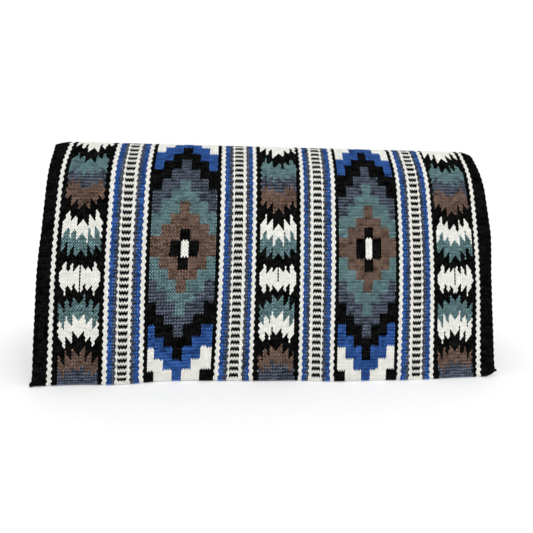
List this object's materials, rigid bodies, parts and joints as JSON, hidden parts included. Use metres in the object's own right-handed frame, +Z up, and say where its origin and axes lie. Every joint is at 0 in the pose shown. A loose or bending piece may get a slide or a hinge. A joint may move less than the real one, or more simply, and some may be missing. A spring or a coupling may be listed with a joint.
{
  "type": "saddle blanket",
  "caption": "Woven wool saddle blanket draped over its ridge line, with striped, serrate and stepped-diamond bands and twined hem cords.",
  "frame": {"origin": "middle of the footprint at floor level, under the ridge", "axes": "+X along the ridge to the viewer's right, -Y towards the front drop, +Z up"},
  "size_m": [0.8842, 0.3652, 0.4372],
  "materials": {
    "wool_black": "matte wool weft",
    "wool_cream": "matte wool weft",
    "wool_blue": "matte wool weft",
    "wool_slate": "matte heathered wool weft",
    "wool_pattern": "matte wool weft in several colours on black",
    "warp_ground": "matte warp with the inner face's weft",
    "hem_cord": "matte twined wool cord"
  },
  "bodies": {
    "root": {"border_left": "wool_black", "edge_line_left": "wool_cream", "flame_band_left": "wool_pattern", "diamond_band_left": "wool_pattern", "ladder_outer_guard_outer_left": "wool_cream", "ladder_outer_blue_outer_left": "wool_blue", "ladder_outer_slate_outer_left": "wool_slate", "ladder_outer_rungs_left": "wool_cream", "ladder_outer_slate_inner_left": "wool_slate", "ladder_outer_blue_inner_left": "wool_blue", "ladder_outer_guard_inner_left": "wool_cream", "ladder_inner_guard_outer_left": "wool_cream", "ladder_inner_blue_outer_left": "wool_blue", "ladder_inner_slate_outer_left": "wool_slate", "ladder_inner_rungs_left": "wool_cream", "ladder_inner_slate_inner_left": "wool_slate", "ladder_inner_blue_inner_left": "wool_blue", "ladder_inner_guard_inner_left": "wool_cream", "border_right": "wool_black", "edge_line_right": "wool_cream", "flame_band_right": "wool_pattern", "diamond_band_right": "wool_pattern", "ladder_outer_guard_outer_right": "wool_cream", "ladder_outer_blue_outer_right": "wool_blue", "ladder_outer_slate_outer_right": "wool_slate", "ladder_outer_rungs_right": "wool_cream", "ladder_outer_slate_inner_right": "wool_slate", "ladder_outer_blue_inner_right": "wool_blue", "ladder_outer_guard_inner_right": "wool_cream", "ladder_inner_guard_outer_right": "wool_cream", "ladder_inner_blue_outer_right": "wool_blue", "ladder_inner_slate_outer_right": "wool_slate", "ladder_inner_rungs_right": "wool_cream", "ladder_inner_slate_inner_right": "wool_slate", "ladder_inner_blue_inner_right": "wool_blue", "ladder_inner_guard_inner_right": "wool_cream", "flame_band_middle": "wool_pattern", "warp_ground": "warp_ground", "hem_cord_front": "hem_cord", "corner_knot_front_left": "hem_cord", "corner_knot_front_right": "hem_cord", "hem_cord_back": "hem_cord", "corner_knot_back_left": "hem_cord", "corner_knot_back_right": "hem_cord"}
  },
  "joints": []
}
